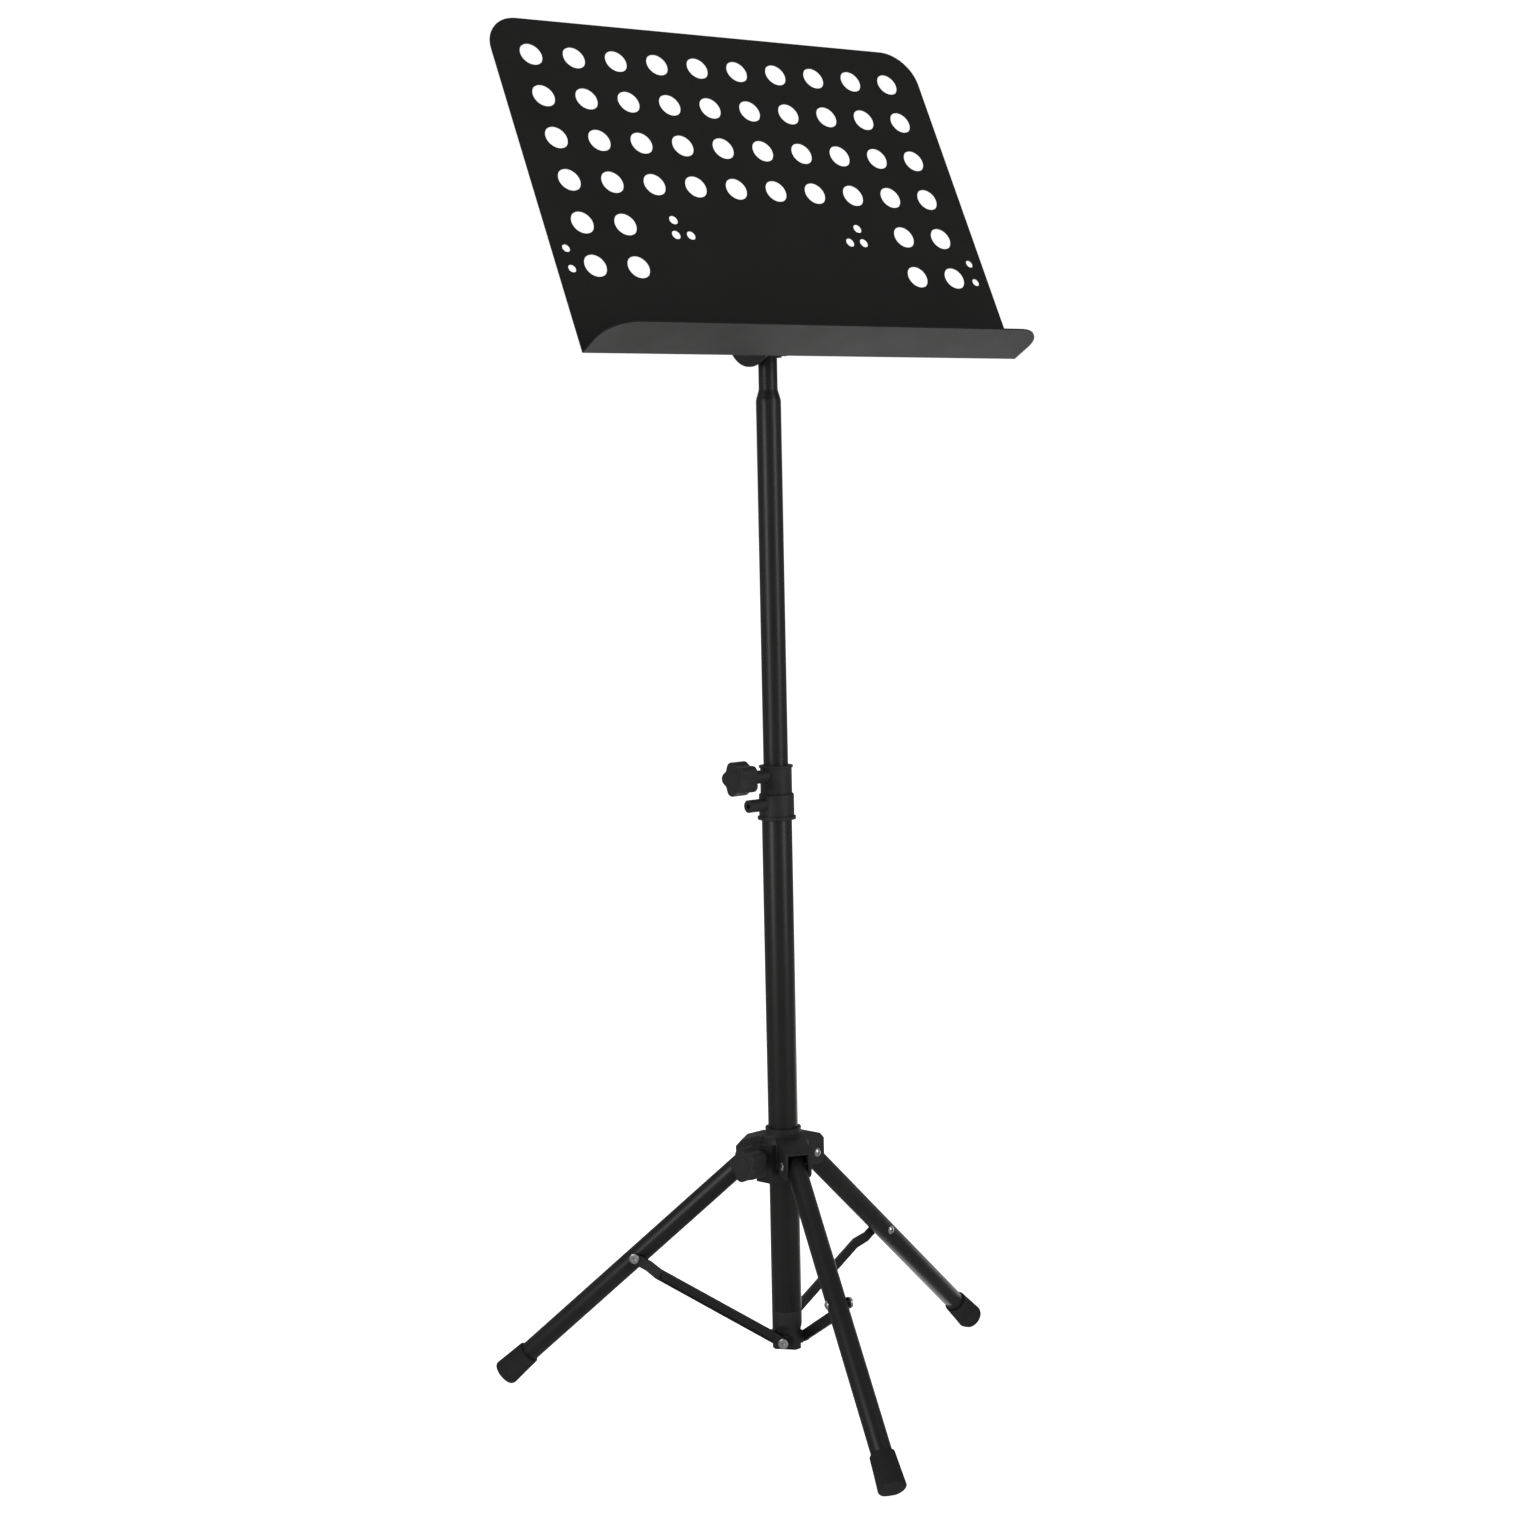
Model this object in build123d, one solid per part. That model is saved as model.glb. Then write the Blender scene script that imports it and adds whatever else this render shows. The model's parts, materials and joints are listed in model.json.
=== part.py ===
# Music stand: a perforated desk on a two-stage column, carried by a folding tripod.
# Millimetres. The column stands on +Z with the floor at zero, and the desk faces -Y.
import os
from math import asin, atan2, cos, degrees, hypot, radians, sin

from build123d import *

# Shared clearances
GAP = 0.3
PIN_FIT = 0.08

# Column
LOWER_R, LOWER_WALL = 14.15, 1.2
UPPER_R, UPPER_WALL = 11.6, 1.2
NECK_R = 8.75
BASE_Z, PLUG_Z, TUBE_FOOT_Z = 48.6, 106.0, 86.0
LOWER_TOP_Z = 579.4
UPPER_FOOT_Z, SHOULDER_Z, NECK_Z, NECK_TOP_Z = 452.0, 947.9, 955.3, 1004.5

# Height collar and its knob
COLLAR_Z = (557.0, 560.0, 581.4, 605.8, 607.8)
COLLAR_LOW_R, COLLAR_HIGH_R = 16.5, 14.85
COLLAR_TURN, HEIGHT_KNOB_Z, CLAMP_Z = 7.0, 598.3, 571.8
KNOB_R, KNOB_LENGTH, KNOB_NECK = 16.5, 21.0, 2.0
KNOB_LOBES, SCALLOP_R, SCALLOP_OUT = 5, 6.5, 19.6
STUD_R, INSERT_R, PAD_R = 3.0, 4.2, 3.5

# Tripod
LEG_TURNS = {"left": 132.9, "right": 12.9, "front": -107.1}
HUB_PIVOT_R, HUB_PIVOT_Z = 34.0, 233.0
LEG_ANGLE, LEG_R, LEG_WALL = 47.93, 9.65, 1.2
LEG_TOP, LEG_PIVOT, LEG_END, FOOT_END = 4.0, 151.0, 325.0, 336.5
FOOT_LENGTH, FOOT_TOP_R, FOOT_R = 34.0, 11.6, 13.0
BRACE_Z, BRACE_W, BRACE_T, BRACE_WALL = 57.0, 10.5, 3.0, 1.2
FLAT_OFFSET, BOSS_R, BOSS_GAP = 10.4, 6.5, 0.5
BRACE_IN = LOWER_R + 1.05
BRACE_OUT = BRACE_IN + BRACE_T
TAB_IN = LEG_R + GAP
TAB_OUT = TAB_IN + 2.2
BEND_START, BEND_END = 28.0, 16.0
RIVET_HOLE_R, HEAD_HEIGHT = 1.5, 2.2
HUB_PIN_R, PIVOT_R, PIVOT_HEAD_R = 3.0, 2.5, 4.85
HUB_KNOB_TURN, HUB_KNOB_Z = 192.9, 236.0
LUG_HALF, SLOT_HALF = 13.15, 9.95

# Desk
DESK_TILT, DESK_HALF, SHEET = 27.3, 240.0, 1.3
DESK_Y, DESK_Z = 72.1, 1255.9
DESK_TOP, DESK_BEND, LEDGE = 38.0, -305.0, 52.0
CORNER_R, LEDGE_CORNER_R = 35.0, 30.0
HOLE_R, HOLE_X, HOLE_STEP = 11.4, 44.5, 43.75
PIVOT_Z = 1015.0
PIVOT_V, PIVOT_W = -247.1, -46.4
EAR_IN, EAR_T = 18.0, 2.5
BOLT_R = 3.0

BOTTOM = (Align.CENTER, Align.CENTER, Align.MIN)


def solid_ring(outer, inner, low, high):
    """A tube along Z between two heights."""
    length = high - low
    body = Cylinder(outer, length, align=BOTTOM) - Cylinder(inner, length, align=BOTTOM)
    return Pos(0, 0, low) * body


def rod_x(radius, start, end):
    """A round bar along X."""
    return Pos(start, 0, 0) * Rot(0, 90, 0) * Cylinder(radius, end - start, align=BOTTOM)


def rod_y(radius, start, end):
    """A round bar along Y."""
    return Pos(0, start, 0) * Rot(-90, 0, 0) * Cylinder(radius, end - start, align=BOTTOM)


def side_face(points):
    """A closed outline drawn in the XZ plane."""
    return Plane.XZ * make_face(Polyline(*points, close=True))


def turned(points):
    """A solid turned about Z from an outline of (radius, height) points."""
    return revolve(side_face(points), Axis.Z)


def hex_bar(flats, start, end):
    """A six-sided bar along Y, sized across its flats."""
    outline = RegularPolygon(flats / 2, 6, major_radius=False)
    return Pos(0, start, 0) * Rot(-90, 0, 0) * extrude(outline, end - start)


def pivot_screw(start, face):
    """A screw along +Y: a shank up to a face, then a head with a hexagon socket."""
    top = face + HEAD_HEIGHT
    head = rod_y(PIVOT_HEAD_R, face, top)
    rim = head.edges().filter_by(GeomType.CIRCLE).sort_by(Axis.Y)[-1]
    screw = rod_y(PIVOT_R, start, face) + fillet(rim, 0.8)
    return screw - hex_bar(3.5, top - 3.2, top + 1)


def dome_head(radius, height):
    """A rivet head that rises from the XY plane."""
    ball = (radius * radius + height * height) / (2 * height)
    cap = Pos(0, 0, height - ball) * Sphere(ball)
    return cap & Pos(0, 0, 0) * Cylinder(radius + 1, height + 1, align=BOTTOM)


def at_collar(height, shape):
    """Turn a shape drawn along -X to the collar's knob side, at a height."""
    return Rot(0, 0, COLLAR_TURN) * Pos(0, 0, height) * shape


def at_leg(turn, shape):
    """Stand a hub-pivot shape, drawn hanging along -Z, in its spread position."""
    return Rot(0, 0, turn) * Pos(HUB_PIVOT_R, 0, HUB_PIVOT_Z) * Rot(0, -LEG_ANGLE, 0) * shape


def brace_reach():
    """Length and lean of a brace between the column's foot and the leg's pivot."""
    lean = radians(LEG_ANGLE)
    out = HUB_PIVOT_R + LEG_PIVOT * sin(lean)
    rise = HUB_PIVOT_Z - LEG_PIVOT * cos(lean) - BRACE_Z
    return hypot(out, rise), degrees(atan2(out, rise))


def at_brace(turn, shape):
    """Stand a brace shape, drawn upright from its lower pivot, in its spread position."""
    lean = brace_reach()[1]
    return Rot(0, 0, turn) * Pos(0, 0, BRACE_Z) * Rot(0, lean, 0) * shape


def at_desk(shape):
    """Lean a desk shape, drawn upright with its front face on y = 0, to its place."""
    return Pos(0, DESK_Y, DESK_Z) * Rot(-DESK_TILT, 0, 0) * shape


# Column pieces


def lower_tube():
    return solid_ring(LOWER_R, LOWER_R - LOWER_WALL, TUBE_FOOT_Z, LOWER_TOP_Z)


def upper_tube():
    inner, neck = UPPER_R - UPPER_WALL, NECK_R - UPPER_WALL
    return turned([
        (inner, UPPER_FOOT_Z), (UPPER_R, UPPER_FOOT_Z), (UPPER_R, SHOULDER_Z),
        (NECK_R, NECK_Z), (NECK_R, NECK_TOP_Z), (neck, NECK_TOP_Z),
        (neck, NECK_Z), (inner, SHOULDER_Z),
    ])


def upper_tube_guide():
    bore = LOWER_R - LOWER_WALL - GAP
    sleeve = solid_ring(bore, UPPER_R, UPPER_FOOT_Z, UPPER_FOOT_Z + 24)
    return sleeve + solid_ring(bore, 9, UPPER_FOOT_Z - 3, UPPER_FOOT_Z)


def bottom_bracket():
    body = Pos(0, 0, BASE_Z) * Cylinder(LOWER_R, TUBE_FOOT_Z - BASE_Z, align=BOTTOM)
    spigot = Cylinder(LOWER_R - LOWER_WALL, PLUG_Z - TUBE_FOOT_Z, align=BOTTOM)
    body += Pos(0, 0, TUBE_FOOT_Z) * spigot
    flat = side_face([(FLAT_OFFSET, 40), (30, 40), (30, 74), (14.3, 74), (FLAT_OFFSET, 68)])
    flat = Rot(0, 0, 90) * extrude(flat, 25, both=True)
    for turn in LEG_TURNS.values():
        body -= Rot(0, 0, turn) * flat
    boss = Pos(0, 0, BRACE_Z) * rod_y(BOSS_R, FLAT_OFFSET - 1, BRACE_IN - BOSS_GAP)
    hole = Pos(0, 0, BRACE_Z) * rod_y(PIVOT_R, 4, BRACE_IN)
    for turn in LEG_TURNS.values():
        body = body + Rot(0, 0, turn) * boss - Rot(0, 0, turn) * hole
    return body


def bottom_pivot_screws():
    screw = Pos(0, 0, BRACE_Z) * pivot_screw(4.2, BRACE_OUT + GAP)
    return Compound([Rot(0, 0, turn) * screw for turn in LEG_TURNS.values()])


def height_collar():
    foot, step, shoulder, rim, top = COLLAR_Z
    body = turned([
        (0, foot), (18, foot), (18, step), (COLLAR_LOW_R, step), (COLLAR_LOW_R, shoulder - 1),
        (COLLAR_LOW_R - 1, shoulder), (COLLAR_HIGH_R, shoulder), (COLLAR_HIGH_R, rim),
        (16, rim), (16, top), (0, top),
    ])
    body += at_collar(HEIGHT_KNOB_Z, rod_x(6.2, -32.4, -5))
    body += at_collar(CLAMP_Z, rod_x(6, -35.5, -5))
    body -= Pos(0, 0, foot) * Cylinder(LOWER_R, LOWER_TOP_Z - foot, align=BOTTOM)
    body -= Pos(0, 0, foot) * Cylinder(UPPER_R + GAP, 60, align=BOTTOM)
    bore = rod_x(PAD_R, -20, 0) + rod_x(INSERT_R, -30, -20) + rod_x(STUD_R + 0.4, -33, -30)
    body -= at_collar(HEIGHT_KNOB_Z, bore)
    return body - at_collar(CLAMP_Z, rod_x(PIVOT_R, -37, 0))


def collar_screw():
    body = rod_x(PIVOT_R, -34.5, -LOWER_R)
    socket = Rot(0, 0, -90) * hex_bar(2.5, -35, -31.5)
    return at_collar(CLAMP_Z, body - socket)


def collar_insert():
    insert = rod_x(INSERT_R, -30, -20) - rod_x(STUD_R + GAP, -30, -20)
    return at_collar(HEIGHT_KNOB_Z, insert)


def collar_pad():
    return at_collar(HEIGHT_KNOB_Z, rod_x(PAD_R, -14.1, -12.2))


def star_knob():
    """A lobed grip on +Z with a short neck and a blind hole for its stud."""
    outline = Circle(KNOB_R)
    for k in range(KNOB_LOBES):
        outline -= Rot(0, 0, 360 / KNOB_LOBES * k) * Pos(SCALLOP_OUT, 0) * Circle(SCALLOP_R)
    outline = fillet(outline.vertices(), 1.6)
    grip = Pos(0, 0, KNOB_NECK) * extrude(outline, KNOB_LENGTH - KNOB_NECK)
    ends = grip.edges().group_by(Axis.Z)
    grip = fillet(ends[-1] + ends[0], 1.4)
    neck = Cylinder(7, KNOB_NECK, align=BOTTOM)
    bore = Cylinder(STUD_R, 17, align=BOTTOM)
    return grip + neck - bore


def height_knob():
    return at_collar(HEIGHT_KNOB_Z, Pos(-33, 0, 0) * Rot(0, -90, 0) * star_knob())


def height_stud():
    return at_collar(HEIGHT_KNOB_Z, rod_x(STUD_R, -50, -14.4))


# Hub pieces


def hub():
    body = turned([
        (0, 214), (18.5, 214), (18.5, 222), (24, 227), (24, 249), (21.5, 255),
        (17, 258.2), (17, 263.2), (0, 263.2),
    ])
    lug = side_face([
        (8, 222), (40, 222), (43.5, 226), (43.5, 246), (38, 251.5), (22, 256), (8, 256),
    ])
    lug = extrude(lug, LUG_HALF, both=True)
    slot = Pos(42.5, 0, 217.25) * Box(40, 2 * SLOT_HALF, 54.5)
    pin = Pos(HUB_PIVOT_R, 0, HUB_PIVOT_Z) * rod_y(HUB_PIN_R, -20, 20)
    for turn in LEG_TURNS.values():
        body += Rot(0, 0, turn) * lug
    for turn in LEG_TURNS.values():
        body = body - Rot(0, 0, turn) * slot - Rot(0, 0, turn) * pin
    boss = Pos(18, 0, 232) * Box(20, 20, 36) + Pos(0, 0, HUB_KNOB_Z) * rod_x(7, 20, 36.5)
    body += Rot(0, 0, HUB_KNOB_TURN) * boss
    hexagon = Rot(0, 0, -90) * hex_bar(10, 20, 25)
    bore = rod_x(PAD_R, 10, 20) + hexagon + rod_x(STUD_R + 0.4, 25, 37)
    body -= Rot(0, 0, HUB_KNOB_TURN) * Pos(0, 0, HUB_KNOB_Z) * bore
    return body - Pos(0, 0, 200) * Cylinder(LOWER_R + GAP, 80, align=BOTTOM)


def hub_pivot_pins():
    pin = rod_y(HUB_PIN_R, -LUG_HALF, LUG_HALF)
    head = Pos(0, LUG_HALF, 0) * Rot(-90, 0, 0) * dome_head(4.2, 1.9)
    pin += head + Rot(0, 0, 180) * head
    pin = pin - rod_y(RIVET_HOLE_R, 11, 20) - rod_y(RIVET_HOLE_R, -20, -11)
    pin = Pos(HUB_PIVOT_R, 0, HUB_PIVOT_Z) * pin
    return Compound([Rot(0, 0, turn) * pin for turn in LEG_TURNS.values()])


def hub_nut():
    nut = Rot(0, 0, -90) * hex_bar(10, 20, 25) - rod_x(STUD_R + GAP, 19, 26)
    return Rot(0, 0, HUB_KNOB_TURN) * Pos(0, 0, HUB_KNOB_Z) * nut


def hub_pad():
    return Rot(0, 0, HUB_KNOB_TURN) * Pos(0, 0, HUB_KNOB_Z) * rod_x(PAD_R, 14.8, 16.7)


def hub_knob():
    knob = Pos(37.5, 0, HUB_KNOB_Z) * Rot(0, 90, 0) * star_knob()
    return Rot(0, 0, HUB_KNOB_TURN) * knob


def hub_stud():
    return Rot(0, 0, HUB_KNOB_TURN) * Pos(0, 0, HUB_KNOB_Z) * rod_x(STUD_R, 17.0, 54.5)


# Leg pieces, drawn hanging along -Z from the hub pivot


def leg_tube():
    body = solid_ring(LEG_R, LEG_R - LEG_WALL, -LEG_END, LEG_TOP)
    body -= rod_y(HUB_PIN_R + PIN_FIT, -20, 20)
    return body - Pos(0, 0, -LEG_PIVOT) * rod_y(PIVOT_R, -20, 20)


def leg_plug():
    dome = Sphere(10.4) & Pos(0, 0, LEG_TOP) * Cylinder(20, 20, align=BOTTOM)
    spigot = Pos(0, 0, -12) * Cylinder(LEG_R - LEG_WALL, 12 + LEG_TOP, align=BOTTOM)
    return dome + spigot - rod_y(HUB_PIN_R + PIN_FIT, -20, 20)


def leg_rivet():
    shank = rod_y(PIVOT_R, -LEG_R, LEG_R)
    head = Pos(0, -LEG_R, 0) * Rot(90, 0, 0) * dome_head(4.2, 2)
    return Pos(0, 0, -LEG_PIVOT) * (shank + head - rod_y(RIVET_HOLE_R, -20, -8))


def foot_cap():
    top = FOOT_LENGTH - FOOT_END
    body = turned([(0, top), (FOOT_TOP_R - 0.6, top), (FOOT_TOP_R, top - 1),
                   (FOOT_R, -FOOT_END), (0, -FOOT_END)])
    body = fillet(body.edges().sort_by(Axis.Z)[0], 2)
    return body - Pos(0, 0, -LEG_END) * Cylinder(LEG_R, 60, align=BOTTOM)


def on_floor(shape):
    """Take off whatever reaches below the floor, which leaves a small flat sole."""
    return shape - Pos(0, 0, -10) * Box(900, 900, 20)


# Brace pieces, drawn upright from the lower pivot


def brace():
    """A shallow channel whose upper end is pressed flat and bent in to lie on the leg."""
    reach = brace_reach()[0]
    outline = Pos(0, reach / 2) * Rot(0, 0, 90) * SlotCenterToCenter(reach, BRACE_W)
    blank = Pos(0, 30, 0) * Rot(90, 0, 0) * extrude(outline, 30)
    bend, tab = reach - BEND_START, reach - BEND_END
    profile = Polyline(
        (BRACE_IN, -10), (BRACE_OUT, -10), (BRACE_OUT, bend + 1), (TAB_OUT, tab + 1),
        (TAB_OUT, reach + 10), (TAB_IN, reach + 10), (TAB_IN, tab), (BRACE_IN, bend), close=True,
    )
    bar = blank & extrude(Plane.YZ * make_face(profile), 10, both=True)
    inner = BRACE_W - 2 * BRACE_WALL
    pocket = Rot(0, 0, 90) * SlotCenterToCenter(reach - 47, inner)
    pocket = Pos(0, BRACE_OUT, (reach - 21) / 2) * Rot(90, 0, 0) * extrude(pocket, BRACE_T - BRACE_WALL)
    lower_hole = rod_y(PIVOT_R + PIN_FIT, BRACE_IN - 1, BRACE_OUT + 1)
    upper_hole = Pos(0, 0, reach) * rod_y(PIVOT_R, TAB_IN - 1, TAB_OUT + 1)
    return bar - pocket - lower_hole - upper_hole


def brace_screw():
    return Pos(0, 0, brace_reach()[0]) * pivot_screw(TAB_IN, TAB_OUT)


# Desk pieces, drawn upright with the front face on y = 0 and the first hole row at z = 0


def desk_outline():
    """The plate seen from the front, with rounded top corners."""
    height = DESK_TOP - DESK_BEND
    plate = Pos(0, (DESK_TOP + DESK_BEND) / 2) * Rectangle(2 * DESK_HALF, height)
    plate = fillet(plate.vertices().group_by(Axis.Y)[-1], CORNER_R)
    for row in range(6):
        for column in range(10):
            if row < 4 or column < 2 or column > 7:
                plate -= Pos((column - 4.5) * HOLE_X, -row * HOLE_STEP) * Circle(HOLE_R)
    for side in (-1, 1):
        for x, z in ((103, -168), (105, -183.5), (89, -183.5)):
            plate -= Pos(side * x, z) * Circle(4.6)
        for z in (-202, -222.5):
            plate -= Pos(side * 225, z) * Circle(4.0)
    return plate


def desk_plate():
    plate = extrude(Plane.XZ * desk_outline(), -SHEET)
    ledge = Pos(0, (SHEET - LEDGE) / 2) * Rectangle(2 * DESK_HALF, LEDGE + SHEET)
    ledge = fillet(ledge.vertices().group_by(Axis.Y)[0], LEDGE_CORNER_R)
    ledge = Pos(0, 0, DESK_BEND - SHEET) * extrude(ledge, SHEET)
    body = plate + ledge
    fold = body.edges().filter_by(Axis.X)
    outer = fold.filter_by_position(Axis.Z, DESK_BEND - SHEET - 0.1, DESK_BEND - SHEET + 0.1)
    outer = outer.sort_by(Axis.Y)[-1]
    return at_desk(fillet(outer, SHEET))


def ear(radius, side):
    """One cheek of the tilt bracket, round about the pivot and square at the web."""
    disc = Pos(PIVOT_W, PIVOT_V) * Circle(radius)
    web = Pos((PIVOT_W - SHEET) / 2, PIVOT_V) * Rectangle(-PIVOT_W - SHEET, 2 * radius)
    cheek = disc + web - Pos(PIVOT_W, PIVOT_V) * Circle(BOLT_R + PIN_FIT)
    start = EAR_IN if side > 0 else -EAR_IN - EAR_T
    cheek = Pos(start, 0, 0) * (Plane.YZ * extrude(cheek, EAR_T))
    return cheek.mirror(Plane.XZ)


def tilt_bracket():
    web_height = 76
    web = Pos(0, SHEET + EAR_T / 2, PIVOT_V) * Box(2 * (EAR_IN + EAR_T), EAR_T, web_height)
    return at_desk(web + ear(38, -1) + ear(16, 1))


# Tilt head pieces, drawn about the tilt pivot


def desk_socket():
    body = Pos(0, 0, 985.5) * Cylinder(13, 20, align=BOTTOM)
    body += Pos(0, 0, 1009) * Box(26, 26, 14)
    body += Pos(0, 0, PIVOT_Z) * rod_x(15, -16.5, 16.5)
    body -= Pos(0, 0, 980) * Cylinder(NECK_R + GAP, NECK_TOP_Z + GAP - 980, align=BOTTOM)
    body -= Rot(0, 0, -45) * Pos(0, 0, 989) * rod_x(PIVOT_R, 5, 20)
    return body - Pos(0, 0, PIVOT_Z) * rod_x(BOLT_R, -20, 20)


def socket_screw():
    screw = rod_x(PIVOT_R, NECK_R + 0.35, 18) - Rot(0, 0, -90) * hex_bar(2.5, 15.5, 19)
    return Rot(0, 0, -45) * Pos(0, 0, 989) * screw


def tilt_bolt():
    face = EAR_IN + EAR_T + GAP
    head = Pos(-face, 0, 0) * Rot(0, -90, 0) * dome_head(7, 4)
    return Pos(0, 0, PIVOT_Z) * (rod_x(BOLT_R, -face, 29) + head)


def tilt_nut():
    face = EAR_IN + EAR_T + GAP
    flange = rod_x(7.5, face, face + 1.2)
    nut = Rot(0, 0, -90) * hex_bar(10, face + 1.2, face + 6.7)
    return Pos(0, 0, PIVOT_Z) * (flange + nut - rod_x(BOLT_R, face, 30))


def tilt_washers():
    washer = rod_x(10, 16.5, EAR_IN - GAP) - rod_x(BOLT_R, 16, EAR_IN)
    washer = Pos(0, 0, PIVOT_Z) * washer
    return Compound([washer, washer.mirror(Plane.YZ)])


os.makedirs("parts", exist_ok=True)

single_pieces = {
    "lower_tube": lower_tube(),
    "upper_tube": upper_tube(),
    "upper_tube_guide": upper_tube_guide(),
    "bottom_bracket": bottom_bracket(),
    "bottom_pivot_screws": bottom_pivot_screws(),
    "height_collar": height_collar(),
    "collar_screw": collar_screw(),
    "collar_insert": collar_insert(),
    "collar_pad": collar_pad(),
    "height_knob": height_knob(),
    "height_stud": height_stud(),
    "hub": hub(),
    "hub_pivot_pins": hub_pivot_pins(),
    "hub_nut": hub_nut(),
    "hub_pad": hub_pad(),
    "hub_knob": hub_knob(),
    "hub_stud": hub_stud(),
    "desk_plate": desk_plate(),
    "tilt_bracket": tilt_bracket(),
    "desk_socket": desk_socket(),
    "socket_screw": socket_screw(),
    "tilt_bolt": tilt_bolt(),
    "tilt_nut": tilt_nut(),
    "tilt_washers": tilt_washers(),
}
for name, shape in single_pieces.items():
    export_step(shape, f"parts/{name}.step")

for side, turn in LEG_TURNS.items():
    export_step(at_leg(turn, leg_tube()), f"parts/{side}_leg_tube.step")
    export_step(at_leg(turn, leg_plug()), f"parts/{side}_leg_plug.step")
    export_step(at_leg(turn, leg_rivet()), f"parts/{side}_leg_rivet.step")
    export_step(on_floor(at_leg(turn, foot_cap())), f"parts/{side}_foot_cap.step")
    export_step(at_brace(turn, brace()), f"parts/{side}_brace.step")
    export_step(at_brace(turn, brace_screw()), f"parts/{side}_brace_screw.step")

reach, lean = brace_reach()
folded = degrees(asin(HUB_PIVOT_R / reach))
travel = BRACE_Z + LEG_PIVOT + reach * cos(radians(folded)) - HUB_PIVOT_Z
print(f"brace {reach:.2f} mm at {lean:.2f} deg, folded {folded:.2f} deg, hub travel {travel:.2f} mm")
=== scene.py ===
# %% [markdown]
# # A folding music stand
# This lesson dresses a folding music stand: a perforated steel desk, a two-stage column, two star
# knobs and a braced tripod. The shapes that carry load come from the engineering model, which is the
# frame. Each step says what the piece is on the real stand, how it could be made, and why this way.

# %% Load the frame
import json
from math import cos, pi, radians, sin

import bmesh
import bpy
from mathutils import Matrix, Vector


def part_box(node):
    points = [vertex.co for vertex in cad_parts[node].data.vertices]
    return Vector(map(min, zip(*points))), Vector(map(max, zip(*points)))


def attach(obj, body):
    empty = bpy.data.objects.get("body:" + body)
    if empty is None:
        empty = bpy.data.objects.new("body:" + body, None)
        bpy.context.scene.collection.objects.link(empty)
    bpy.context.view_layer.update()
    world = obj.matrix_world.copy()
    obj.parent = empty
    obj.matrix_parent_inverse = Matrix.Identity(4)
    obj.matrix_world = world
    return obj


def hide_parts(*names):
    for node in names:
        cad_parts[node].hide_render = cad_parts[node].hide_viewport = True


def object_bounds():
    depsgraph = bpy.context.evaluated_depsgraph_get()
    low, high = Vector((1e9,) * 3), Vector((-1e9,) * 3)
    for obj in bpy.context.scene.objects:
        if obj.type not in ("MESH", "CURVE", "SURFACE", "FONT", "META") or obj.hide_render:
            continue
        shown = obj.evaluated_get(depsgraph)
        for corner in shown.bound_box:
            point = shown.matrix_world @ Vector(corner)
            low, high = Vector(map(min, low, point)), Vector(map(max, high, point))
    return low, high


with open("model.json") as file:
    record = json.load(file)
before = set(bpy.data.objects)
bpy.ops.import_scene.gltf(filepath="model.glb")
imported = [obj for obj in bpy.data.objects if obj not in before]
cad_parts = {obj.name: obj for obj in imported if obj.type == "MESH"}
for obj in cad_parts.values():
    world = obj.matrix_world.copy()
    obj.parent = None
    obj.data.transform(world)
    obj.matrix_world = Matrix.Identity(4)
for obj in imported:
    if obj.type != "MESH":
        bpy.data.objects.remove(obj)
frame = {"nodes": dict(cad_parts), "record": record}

MM = 0.001
cad_low, cad_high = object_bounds()
cad_size = [round(high - low, 4) for low, high in zip(cad_low, cad_high)]
print("the stand measures", cad_size, "metres")

# %% [markdown]
# ## Finding a node's body
# Every piece has to ride on the body of the node that it stands for. The record lists the nodes of
# each body, so a small lookup does this, and no body name is typed twice.

# %% Look up the body of each node
body_of_node = {}
for body, nodes in frame["record"]["behaviour"]["bodies"].items():
    for node in nodes:
        body_of_node[node] = body
SIDES = ("left", "right", "front")


# %% [markdown]
# ## A shader to start from
# Every finish here is a Principled shader with a pattern on Object coordinates. Object coordinates are
# metres on these pieces, so a scale of 900 is a grain of about a millimetre. Values that are the same
# all over go on the shader's own sockets, and only what varies is wired.

# %% Start a finish
finishes = {}


def start_finish(name, metal=0.0, coat=0.0, coat_rough=0.2, specular=0.5):
    """A new material, with its node tree and its shader."""
    material = bpy.data.materials.new(name)
    material.use_nodes = True
    tree = material.node_tree
    shader = tree.nodes["Principled BSDF"]
    shader.inputs["Metallic"].default_value = metal
    shader.inputs["Coat Weight"].default_value = coat
    shader.inputs["Coat Roughness"].default_value = coat_rough
    shader.inputs["Specular IOR Level"].default_value = specular
    return material, tree, shader


def place_pattern(tree, stretch=(1, 1, 1)):
    """Object coordinates, squeezed along an axis to draw a pattern out."""
    coordinates = tree.nodes.new("ShaderNodeTexCoord")
    mapping = tree.nodes.new("ShaderNodeMapping")
    mapping.inputs["Scale"].default_value = stretch
    tree.links.new(coordinates.outputs["Object"], mapping.inputs["Vector"])
    return mapping.outputs["Vector"]


def noise(tree, vector, scale, detail=3.0, rough=0.5):
    """A noise field at so many waves a metre."""
    node = tree.nodes.new("ShaderNodeTexNoise")
    node.inputs["Scale"].default_value = scale
    node.inputs["Detail"].default_value = detail
    node.inputs["Roughness"].default_value = rough
    tree.links.new(vector, node.inputs["Vector"])
    return node.outputs["Fac"]


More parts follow.
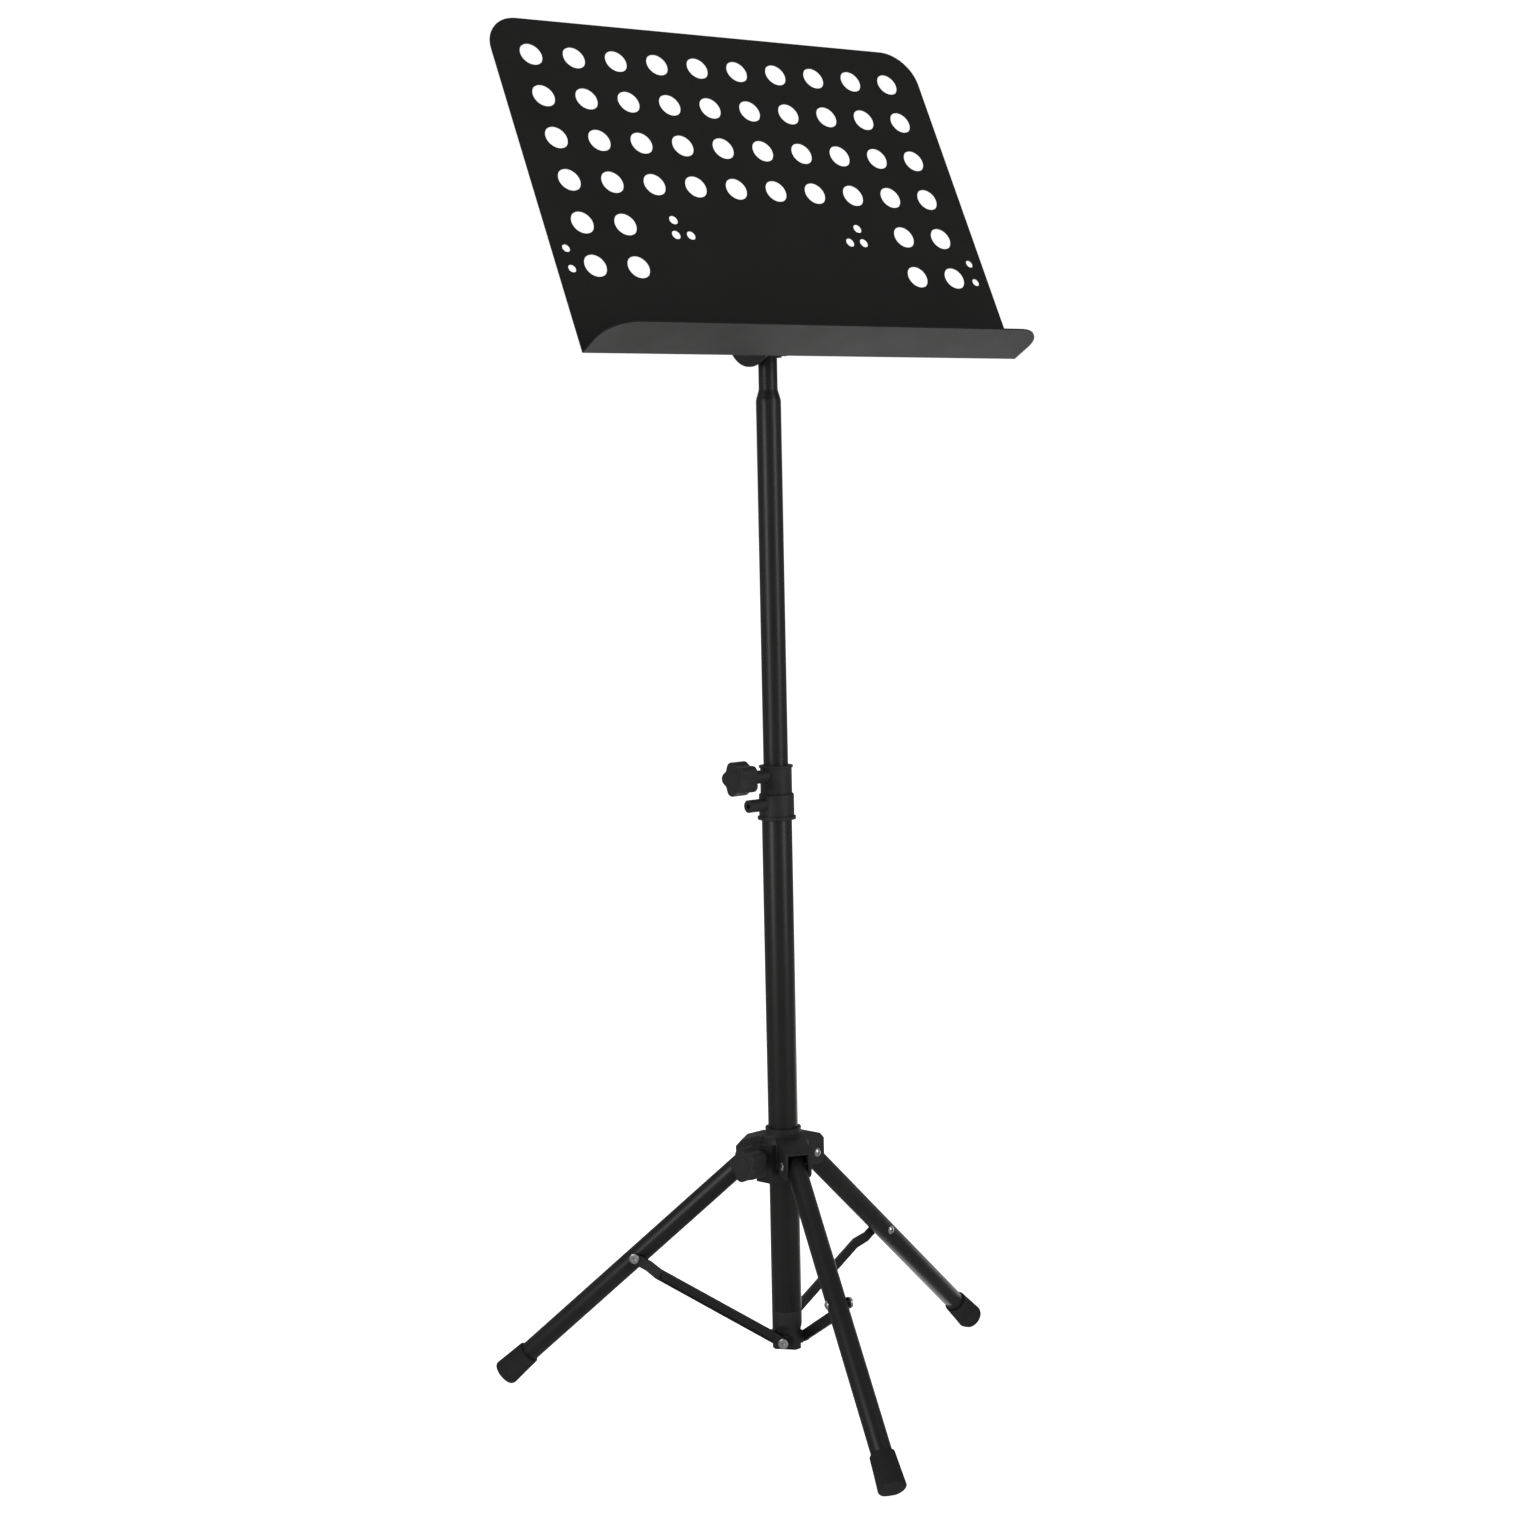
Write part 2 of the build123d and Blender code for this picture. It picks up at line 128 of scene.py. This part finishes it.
def spread(tree, value, low, high, start=0.3, end=0.7):
    """Turn a noise value into a range of numbers."""
    node = tree.nodes.new("ShaderNodeMapRange")
    node.inputs["From Min"].default_value = start
    node.inputs["From Max"].default_value = end
    node.inputs["To Min"].default_value = low
    node.inputs["To Max"].default_value = high
    tree.links.new(value, node.inputs["Value"])
    return node.outputs["Result"]


def tint(tree, value, dark, light, start=0.3, end=0.7):
    """Turn a noise value into a colour between two."""
    node = tree.nodes.new("ShaderNodeValToRGB")
    node.color_ramp.elements[0].position = start
    node.color_ramp.elements[1].position = end
    node.color_ramp.elements[0].color = (*dark, 1)
    node.color_ramp.elements[1].color = (*light, 1)
    tree.links.new(value, node.inputs["Fac"])
    return node.outputs["Color"]


MIX_UNDER, MIX_OVER, MIX_RESULT = 6, 7, 2


def lay_over(tree, under, over, mask):
    """Lay a plain colour over another where the mask is one. The numbers are the colour sockets."""
    node = tree.nodes.new("ShaderNodeMix")
    node.data_type = "RGBA"
    tree.links.new(mask, node.inputs["Factor"])
    tree.links.new(under, node.inputs[MIX_UNDER])
    node.inputs[MIX_OVER].default_value = (*over, 1)
    return node.outputs[MIX_RESULT]


def raise_grain(tree, shader, heights, depth, strength=0.6):
    """Bump one or more height fields, each over the one before."""
    normal = None
    for height, distance in zip(heights, depth):
        bump = tree.nodes.new("ShaderNodeBump")
        bump.inputs["Strength"].default_value = strength
        bump.inputs["Distance"].default_value = distance
        tree.links.new(height, bump.inputs["Height"])
        if normal is not None:
            tree.links.new(normal, bump.inputs["Normal"])
        normal = bump.outputs["Normal"]
    tree.links.new(normal, shader.inputs["Normal"])


# %% [markdown]
# ## Powder coat on the desk
# The desk is sheet steel under a matte black powder coat. The powder melts into fine pimples under a
# millimetre wide, with slow waves where it flowed. It could be a flat dark colour, but the grain is
# what breaks the highlight of a large flat plate, so it has two bumps, and its roughness wanders.

# %% Powder coat
def powder_coat():
    material, tree, shader = start_finish("powder_coat", specular=0.34)
    vector = place_pattern(tree)
    pimples = noise(tree, vector, 1400, 2.0)
    flow = noise(tree, vector, 90, 3.0)
    patches = noise(tree, vector, 9, 4.0, 0.6)
    colour = tint(tree, patches, (0.0052, 0.0052, 0.0046), (0.0080, 0.0079, 0.0070))
    dust = noise(tree, vector, 2600, 1.0)
    specks = spread(tree, dust, 0.0, 0.35, 0.72, 0.80)
    colour = lay_over(tree, colour, (0.03, 0.03, 0.028), specks)
    tree.links.new(colour, shader.inputs["Base Color"])
    tree.links.new(spread(tree, patches, 0.50, 0.60), shader.inputs["Roughness"])
    raise_grain(tree, shader, (flow, pimples), (0.00012, 0.00006), 0.55)
    return material


finishes["desk_paint"] = powder_coat()
print("the desk's powder coat is mixed")


# %% [markdown]
# ## Enamel on the tubes
# The tubes are drawn steel under a thinner, glossier enamel. Drawing leaves faint lines along the tube,
# and sliding through the collar leaves fine rubs the same way, so the noise is squeezed along Z. The
# legs lean, so their lines come from the same field with less stretch.

# %% Satin enamel
def satin_enamel(name, stretch, rough_low, rough_high):
    material, tree, shader = start_finish(name, coat=0.15, coat_rough=0.30, specular=0.45)
    vector = place_pattern(tree, stretch)
    plain = place_pattern(tree)
    lines = noise(tree, vector, 420, 3.0)
    peel = noise(tree, plain, 700, 2.0)
    patches = noise(tree, plain, 14, 4.0, 0.6)
    colour = tint(tree, patches, (0.0050, 0.0050, 0.0048), (0.0085, 0.0084, 0.0078))
    rubs = spread(tree, noise(tree, vector, 900, 2.0), 0.0, 0.25, 0.70, 0.78)
    colour = lay_over(tree, colour, (0.03, 0.03, 0.0285), rubs)
    tree.links.new(colour, shader.inputs["Base Color"])
    tree.links.new(spread(tree, patches, rough_low, rough_high), shader.inputs["Roughness"])
    raise_grain(tree, shader, (lines, peel), (0.00004, 0.00004), 0.4)
    return material


finishes["tube_paint"] = satin_enamel("column_enamel", (1, 1, 0.04), 0.36, 0.44)
finishes["leg_paint"] = satin_enamel("leg_enamel", (1, 1, 0.35), 0.38, 0.47)
finishes["bracket_paint"] = satin_enamel("bracket_enamel", (1, 1, 1), 0.42, 0.52)
print("enamel for the column, the legs and the brackets")


# %% [markdown]
# ## Moulded plastic
# The hub, collar, knobs and tilt socket are moulded nylon with a spark-eroded grain. It is a little
# greyer than the paint, and polished a touch where fingers turn the knobs, which is the slow change of
# roughness here.

# %% Moulded plastic
def moulded_plastic(name, dark, light, rough_low, rough_high, grain=1900):
    material, tree, shader = start_finish(name, specular=0.45)
    vector = place_pattern(tree)
    sparks = noise(tree, vector, grain, 3.0, 0.65)
    waves = noise(tree, vector, 160, 2.0)
    patches = noise(tree, vector, 26, 4.0, 0.6)
    colour = tint(tree, patches, dark, light)
    scuffs = spread(tree, noise(tree, vector, 520, 4.0, 0.7), 0.0, 0.22, 0.66, 0.74)
    colour = lay_over(tree, colour, (0.045, 0.045, 0.0435), scuffs)
    tree.links.new(colour, shader.inputs["Base Color"])
    tree.links.new(spread(tree, patches, rough_low, rough_high), shader.inputs["Roughness"])
    raise_grain(tree, shader, (waves, sparks), (0.00010, 0.00008), 0.6)
    return material


finishes["black_plastic"] = moulded_plastic(
    "black_nylon", (0.0105, 0.0105, 0.0105), (0.0165, 0.0165, 0.0160), 0.46, 0.58
)
finishes["inner_plastic"] = moulded_plastic(
    "guide_nylon", (0.035, 0.035, 0.034), (0.048, 0.048, 0.046), 0.5, 0.6
)
print("two plastics, the inner one paler")


# %% [markdown]
# ## Foot rubber
# The feet are soft rubber that picks up floor dust. Rubber has no clear highlight, so the roughness is
# high, and a pale dust lies in the patches where the noise is strongest.

# %% Foot rubber
def foot_rubber():
    material, tree, shader = start_finish("foot_rubber", specular=0.35)
    vector = place_pattern(tree)
    pores = noise(tree, vector, 1600, 4.0, 0.7)
    patches = noise(tree, vector, 60, 5.0, 0.65)
    colour = tint(tree, patches, (0.0075, 0.0075, 0.0075), (0.0150, 0.0148, 0.0142))
    dust = spread(tree, noise(tree, vector, 240, 5.0, 0.7), 0.0, 0.30, 0.58, 0.74)
    colour = lay_over(tree, colour, (0.05, 0.048, 0.045), dust)
    tree.links.new(colour, shader.inputs["Base Color"])
    tree.links.new(spread(tree, patches, 0.70, 0.86), shader.inputs["Roughness"])
    raise_grain(tree, shader, (patches, pores), (0.00015, 0.00012), 0.6)
    return material


finishes["foot_rubber"] = foot_rubber()
print("the foot rubber is mixed")


# %% [markdown]
# ## Plated, blackened and turned metal
# Rivet heads and screws are bright zinc, the clamp screws are blackened steel, and the threaded insert
# is brass. All three are metal with hairline turning marks, so one helper takes the colours.

# %% Bare metals
def bare_metal(name, dark, light, rough_low, rough_high):
    material, tree, shader = start_finish(name, metal=1.0)
    vector = place_pattern(tree, (1, 1, 6))
    hairs = noise(tree, vector, 1500, 3.0)
    patches = noise(tree, place_pattern(tree), 120, 4.0, 0.6)
    tree.links.new(tint(tree, patches, dark, light), shader.inputs["Base Color"])
    tree.links.new(spread(tree, patches, rough_low, rough_high), shader.inputs["Roughness"])
    raise_grain(tree, shader, (hairs,), (0.00003,), 0.5)
    return material


finishes["bright_steel"] = bare_metal(
    "zinc_plate", (0.74, 0.74, 0.75), (0.90, 0.90, 0.90), 0.20, 0.34
)
finishes["dark_steel"] = bare_metal(
    "black_oxide", (0.035, 0.035, 0.036), (0.06, 0.06, 0.06), 0.30, 0.45
)
finishes["insert_brass"] = bare_metal(
    "turned_brass", (0.62, 0.46, 0.22), (0.74, 0.57, 0.30), 0.22, 0.34
)
print(len(finishes), "finishes in all")

# %% [markdown]
# ## Softening the moulded and pressed pieces
# The frame's pieces have knife edges, and no real edge is that sharp: nylon leaves the mould with a
# radius, and paint rounds a pressed edge. The pieces could be modelled again, but their shapes are
# right. So each is copied, its loose triangles are merged and its flat faces joined, and a live Bevel
# rounds the edges that turn by more than a set angle.

# %% Soften a piece
slot_of_node = {row["node"]: row["material_slot"] for row in frame["record"]["subparts"]}


def add_piece(name, mesh, finish, node):
    """Put a finished mesh in the scene in place of a node."""
    mesh.materials.clear()
    mesh.materials.append(finishes[finish])
    piece = bpy.data.objects.new(name, mesh)
    bpy.context.collection.objects.link(piece)
    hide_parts(node)
    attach(piece, body_of_node[node])
    return piece


CREASE = radians(32)
MERGE, FLAT = 0.002 * MM, radians(0.4)


def smooth_faces(mesh):
    """Shade smoothly, but keep a crease where faces turn by more than the crease angle."""
    mesh.shade_smooth()
    mesh.set_sharp_from_angle(angle=CREASE)


def soften(node, finish, width):
    """A copy of a node with rounded edges."""
    mesh = bpy.data.meshes.new(node + "_soft")
    shape = bmesh.new()
    shape.from_mesh(frame["nodes"][node].data)
    bmesh.ops.remove_doubles(shape, verts=shape.verts, dist=MERGE)
    bmesh.ops.dissolve_limit(shape, angle_limit=FLAT, verts=shape.verts, edges=shape.edges)
    bmesh.ops.recalc_face_normals(shape, faces=shape.faces)
    shape.to_mesh(mesh)
    shape.free()
    smooth_faces(mesh)
    piece = add_piece(node + "_soft", mesh, finish, node)
    bevel = piece.modifiers.new("edge", "BEVEL")
    bevel.width = width * MM
    bevel.segments = 3
    bevel.limit_method = "ANGLE"
    bevel.angle_limit = CREASE
    bevel.harden_normals = True
    return piece


softened = {
    "hub": 0.9, "height_collar": 0.5, "desk_socket": 0.8, "bottom_bracket": 0.6,
    "tilt_bracket": 0.5, "desk_plate": 0.3,
}
brace_width = 0.35
for node, width in softened.items():
    soften(node, slot_of_node[node], width)
for side in SIDES:
    soften(side + "_brace", "bracket_paint", brace_width)
print(len(softened) + len(SIDES), "pieces softened")

# %% [markdown]
# ## Turned pieces: tubes and foot caps
# A tube or a foot cap is the same all the way round. It could be a cylinder with its ends shaped, but
# an outline spun about the axis gives rolled ends, the swaged neck and the foot's flare in one go.
# The outline is drawn on the XZ plane in millimetres, as points of radius and height.

# %% Spin an outline
def arc(centre, radius, start, end, steps=6):
    """Outline points on an arc, angles in degrees from the X axis."""
    points = []
    for step in range(steps + 1):
        angle = radians(start + (end - start) * step / steps)
        points.append((centre[0] + radius * cos(angle), centre[1] + radius * sin(angle)))
    return points


def spin_outline(points, steps=96, closed=True):
    """Turn an outline about Z into a bmesh, in metres."""
    shape = bmesh.new()
    verts = [shape.verts.new((x * MM, 0, z * MM)) for x, z in points]
    edges = [shape.edges.new(pair) for pair in zip(verts, verts[1:])]
    if closed:
        edges.append(shape.edges.new((verts[-1], verts[0])))
    bmesh.ops.spin(
        shape, geom=verts + edges, cent=(0, 0, 0), axis=(0, 0, 1), angle=2 * pi,
        steps=steps, use_merge=True,
    )
    bmesh.ops.remove_doubles(shape, verts=shape.verts, dist=0.001 * MM)
    bmesh.ops.recalc_face_normals(shape, faces=shape.faces)
    return shape


def finish_mesh(name, shape, place=None):
    """Put a bmesh in its place and make a smooth mesh of it."""
    if place is not None:
        bmesh.ops.transform(shape, matrix=place, verts=shape.verts)
    mesh = bpy.data.meshes.new(name)
    shape.to_mesh(mesh)
    shape.free()
    smooth_faces(mesh)
    return mesh


# %% The column's two tubes
def rolled_tube(radius, wall, low, high):
    """Outline of a tube whose ends are rolled over by half the wall."""
    middle, half = radius - wall / 2, wall / 2
    return arc((middle, high - half), half, 0, 180) + arc((middle, low + half), half, 180, 360)


column_wall = 1.2
low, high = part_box("lower_tube")
lower_radius = (high.x - low.x) / 2 / MM
outline = rolled_tube(lower_radius, column_wall, low.z / MM, high.z / MM)
mesh = finish_mesh("lower_tube_drawn", spin_outline(outline))
add_piece("lower_tube_drawn", mesh, "tube_paint", "lower_tube")

low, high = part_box("upper_tube")
upper_radius = (high.x - low.x) / 2 / MM
neck_radius, swage_low, swage_high = 8.75, 947.9, 955.3
swage_round = 2.2
outline = [
    (upper_radius - column_wall, low.z / MM), (upper_radius, low.z / MM),
    (upper_radius, swage_low - swage_round), (upper_radius - 0.15, swage_low - 0.6),
    (upper_radius - 0.6, swage_low + 0.9), (neck_radius + 0.6, swage_high - 0.9),
    (neck_radius + 0.15, swage_high + 0.6), (neck_radius, swage_high + swage_round),
    (neck_radius, high.z / MM), (neck_radius - column_wall, high.z / MM),
    (neck_radius - column_wall, swage_high), (upper_radius - column_wall, swage_low),
]
mesh = finish_mesh("upper_tube_drawn", spin_outline(outline))
add_piece("upper_tube_drawn", mesh, "tube_paint", "upper_tube")
print("column tubes", round(lower_radius, 2), round(upper_radius, 2), "mm in radius")

# %% [markdown]
# ## Legs that share one drawing
# The three legs are alike, so each piece is drawn once, hanging from the hub's pivot along -Z, and then
# placed. The place comes from the leg's hinge: its point, its axis, and how far it folds to hang down.

# %% Legs and feet
joints = {joint["name"]: joint for joint in frame["record"]["behaviour"]["joints"]}


def leg_place(side):
    """Where a drawing that hangs from the hub pivot goes on one leg."""
    joint = joints[side + "_leg_fold"]
    hinge = Vector(joint["axis"]).normalized()
    up = Matrix.Rotation(-radians(joint["range_deg"][1]), 3, hinge) @ Vector((0, 0, 1))
    turn = Matrix((hinge.cross(up), hinge, up)).transposed().to_4x4()
    return Matrix.Translation(Vector(joint["pos_m"])) @ turn


leg_radius, leg_top, leg_end, foot_end, leg_steps = 9.65, 4.0, 325.0, 336.5, 72
foot_top, foot_dome = -302.5, -338.0
foot_outline = [(0, -leg_end - 0.1), (leg_radius + 0.05, -leg_end - 0.1), (leg_radius + 0.05, foot_top)]
foot_outline += arc((10.8, foot_top - 0.8), 0.8, 90, 0, 4)
foot_outline += [(11.7, foot_top - 3), (12.3, foot_top - 17), (13.0, 2 - foot_end)]
foot_outline += arc((11.0, 2 - foot_end), 2.0, 0, -75, 6)
foot_outline += [(7, foot_dome + 0.45), (3.5, foot_dome + 0.1), (0, foot_dome)]
for side in SIDES:
    place = leg_place(side)
    outline = rolled_tube(leg_radius, column_wall, -leg_end, leg_top)
    mesh = finish_mesh(side + "_leg_drawn", spin_outline(outline, leg_steps), place)
    add_piece(side + "_leg_drawn", mesh, "leg_paint", side + "_leg_tube")
    foot = spin_outline(foot_outline, leg_steps, closed=False)
    bmesh.ops.transform(foot, matrix=place, verts=foot.verts)
    everything = foot.verts[:] + foot.edges[:] + foot.faces[:]
    cut = bmesh.ops.bisect_plane(
        foot, geom=everything, plane_co=(0, 0, 0), plane_no=(0, 0, -1), clear_outer=True
    )
    rim = [edge for edge in cut["geom_cut"] if isinstance(edge, bmesh.types.BMEdge)]
    bmesh.ops.holes_fill(foot, edges=rim)
    bmesh.ops.recalc_face_normals(foot, faces=foot.faces)
    mesh = finish_mesh(side + "_foot_moulded", foot)
    add_piece(side + "_foot_moulded", mesh, "foot_rubber", side + "_foot_cap")
print("three legs and feet placed")

# %% [markdown]
# ## Star knobs
# Each knob is a five-lobed nylon grip with a short neck and a flat disc pressed into its face. It could
# be a cylinder with five cuts, but cuts leave sharp lobes. So the grip starts as a circle whose radius
# dips between the lobes. It is extruded to its thickness and its rims are bevelled, and the neck and
# the disc are spun and joined to it.

# %% Star knobs
knob_radius, lobe_depth, lobes, lobe_width = 16.5, 3.4, 5, 1.3
grip_low, grip_high, rim_round = 2.0, 21.0, 1.7


def star_grip():
    """A grip with its lobes, standing on +Z, in metres."""
    shape = bmesh.new()
    bmesh.ops.create_circle(shape, cap_ends=True, segments=150, radius=1)
    for vert in shape.verts:
        turn = Vector((1, 0)).angle_signed(vert.co.xy)
        dip = (0.5 + 0.5 * cos(lobes * turn)) ** lobe_width
        vert.co = vert.co.normalized() * (knob_radius - lobe_depth * dip) * MM
        vert.co.z = grip_low * MM
    base = shape.faces[:]
    raised = bmesh.ops.extrude_face_region(shape, geom=base)["geom"]
    top_verts = [part for part in raised if isinstance(part, bmesh.types.BMVert)]
    bmesh.ops.translate(shape, vec=(0, 0, (grip_high - grip_low) * MM), verts=top_verts)
    bmesh.ops.recalc_face_normals(shape, faces=shape.faces)
    rims = [edge for edge in shape.edges if abs(edge.verts[0].co.z - edge.verts[1].co.z) < 0.001 * MM]
    bmesh.ops.bevel(
        shape, geom=rims, offset=rim_round * MM, segments=5, profile=0.5, material=-1,
        affect="EDGES", offset_type="OFFSET",
    )
    return shape


def knob_place(joint):
    """Stand a +Z drawing on a knob's axis. The joint's point is the middle of the knob."""
    axis = Vector(joint["axis"]).normalized()
    start = Vector(joint["pos_m"]) - axis * (grip_high / 2) * MM
    return Matrix.Translation(start) @ axis.to_track_quat("Z", "Y").to_matrix().to_4x4()


neck_outline = [(3.0, 0.2), (6.6, 0.2), (7.0, 0.6), (7.0, 2.4), (3.0, 2.4)]
disc_foot, disc_rim, disc_face = grip_high - 0.6, grip_high + 0.5, grip_high + 0.25
disc_outline = [(0, disc_foot), (8.6, disc_foot), (8.6, disc_rim - 0.3), (8.3, disc_rim), (7.4, disc_rim)]
disc_outline += [(7.1, disc_face), (0, disc_face)]
for node, joint in (("height_knob", "height_knob_turn"), ("hub_knob", "hub_knob_turn")):
    knob = star_grip()
    for outline, closed in ((neck_outline, True), (disc_outline, False)):
        turned = finish_mesh("turned", spin_outline(outline, 60, closed))
        knob.from_mesh(turned)
        bpy.data.meshes.remove(turned)
    mesh = finish_mesh(node + "_moulded", knob, knob_place(joints[joint]))
    add_piece(node + "_moulded", mesh, "black_plastic", node)
print("two star knobs,", 2 * knob_radius, "mm across")

# %% [markdown]
# ## Finishes for the pieces that stay
# Screws, rivets, plugs, studs and inner pieces are already the right shape. They could be drawn again,
# but nothing would be gained, so each keeps its node and gets the finish of its slot. The leg tubes'
# own nodes get the legs' enamel, to match the tubes that were drawn over them.

# %% Dress the nodes that stay
for node, obj in frame["nodes"].items():
    finish = "leg_paint" if node.endswith("leg_tube") else slot_of_node[node]
    for material_slot in obj.material_slots:
        material_slot.material = finishes[finish]
print("every node has a finish")

# %% [markdown]
# ## Floor and backdrop
# A product like this is shown on white. The floor is one large pale sheet, and the world behind it
# is white where the camera sees it and dimmer where the stand does, so the dark paint keeps dark edges.

# %% Floor and world
floor_mesh = bpy.data.meshes.new("floor")
floor_shape = bmesh.new()
bmesh.ops.create_grid(floor_shape, x_segments=1, y_segments=1, size=40)
floor_shape.to_mesh(floor_mesh)
floor_shape.free()
floor = bpy.data.objects.new("floor", floor_mesh)
bpy.context.collection.objects.link(floor)
floor_finish, floor_tree, floor_shader = start_finish("pale_floor", specular=0.2)
floor_noise = noise(floor_tree, place_pattern(floor_tree), 3, 2.0)
floor_tint = tint(floor_tree, floor_noise, (0.93, 0.93, 0.93), (0.95, 0.95, 0.95))
floor_tree.links.new(floor_tint, floor_shader.inputs["Base Color"])
floor_shader.inputs["Roughness"].default_value = 0.9
floor_shader.inputs["Emission Color"].default_value = (1, 1, 1, 1)
floor_shader.inputs["Emission Strength"].default_value = 0.92
floor_mesh.materials.append(floor_finish)
floor.visible_glossy = False

world = bpy.data.worlds.new("studio")
world.use_nodes = True
bpy.context.scene.world = world
sky = world.node_tree
seen, lit = sky.nodes["Background"], sky.nodes.new("ShaderNodeBackground")
seen.inputs["Color"].default_value = (1, 1, 1, 1)
seen.inputs["Strength"].default_value = 1.0
lit.inputs["Color"].default_value = (1, 1, 1, 1)
lit.inputs["Strength"].default_value = 0.20
rays, pick = sky.nodes.new("ShaderNodeLightPath"), sky.nodes.new("ShaderNodeMixShader")
sky.links.new(rays.outputs["Is Camera Ray"], pick.inputs["Fac"])
sky.links.new(lit.outputs["Background"], pick.inputs[1])
sky.links.new(seen.outputs["Background"], pick.inputs[2])
sky.links.new(pick.outputs["Shader"], sky.nodes["World Output"].inputs["Surface"])
bpy.context.scene.view_settings.view_transform = "Standard"
print("a pale floor and a white backdrop")


# %% [markdown]
# ## Soft studio light
# Long vertical highlights run down both sides of the column, so two tall soft boxes stand left and
# right of the camera. A third hangs overhead, a little behind the desk so that its front stays dark,
# and a fourth lies low behind the stand to lift the underside of the ledge.

# %% Lights
def soft_box(name, place, aim, width, height, power):
    """A large area light at a place, facing a point."""
    data = bpy.data.lights.new(name, "AREA")
    data.shape = "RECTANGLE"
    data.size, data.size_y, data.energy = width, height, power
    lamp = bpy.data.objects.new(name, data)
    place, aim = Vector(place), Vector(aim)
    turn = (aim - place).to_track_quat("-Z", "Y").to_matrix().to_4x4()
    lamp.matrix_world = Matrix.Translation(place) @ turn
    bpy.context.collection.objects.link(lamp)
    return lamp


middle = Vector((0, 0, cad_high[2] / 2))
soft_box("left_box", (-3.4, -0.7, 1.6), middle, 0.9, 2.6, 34)
soft_box("right_box", (1.2, -3.6, 1.6), middle, 0.9, 2.6, 30)
under_box = soft_box("under_box", (0.9, 0.8, 0.03), (0.9, 0.8, 2), 1.5, 1.5, 9)
under_box.visible_camera = False
soft_box("top_box", (0.3, 1.6, 4.0), middle, 3.0, 3.0, 24)
print("four soft boxes around a stand", round(cad_high[2], 2), "metres tall")

# %% [markdown]
# ## Camera
# A long lens keeps the desk's edges almost parallel. The camera stands in front of the stand and to its
# left, at two thirds of its height, tips down a little, and is rolled by about a degree.

# %% Camera
LENS, SENSOR = 63.9, 36.0
camera_data = bpy.data.cameras.new("camera")
camera_data.lens, camera_data.sensor_width = LENS, SENSOR
camera = bpy.data.objects.new("camera", camera_data)
heading, tip, roll = radians(-34.75), radians(90 - 5.65), radians(-1.2)
camera_place = Matrix.Translation((-1.4435, -2.0526, 0.8625))
camera_turn = Matrix.Rotation(heading, 4, "Z") @ Matrix.Rotation(tip, 4, "X")
camera_turn = camera_turn @ Matrix.Rotation(roll, 4, "Z")
camera.matrix_world = camera_place @ camera_turn
bpy.context.collection.objects.link(camera)
bpy.context.scene.camera = camera
print("the camera stands", round(camera.location.length, 2), "metres from the column's foot")
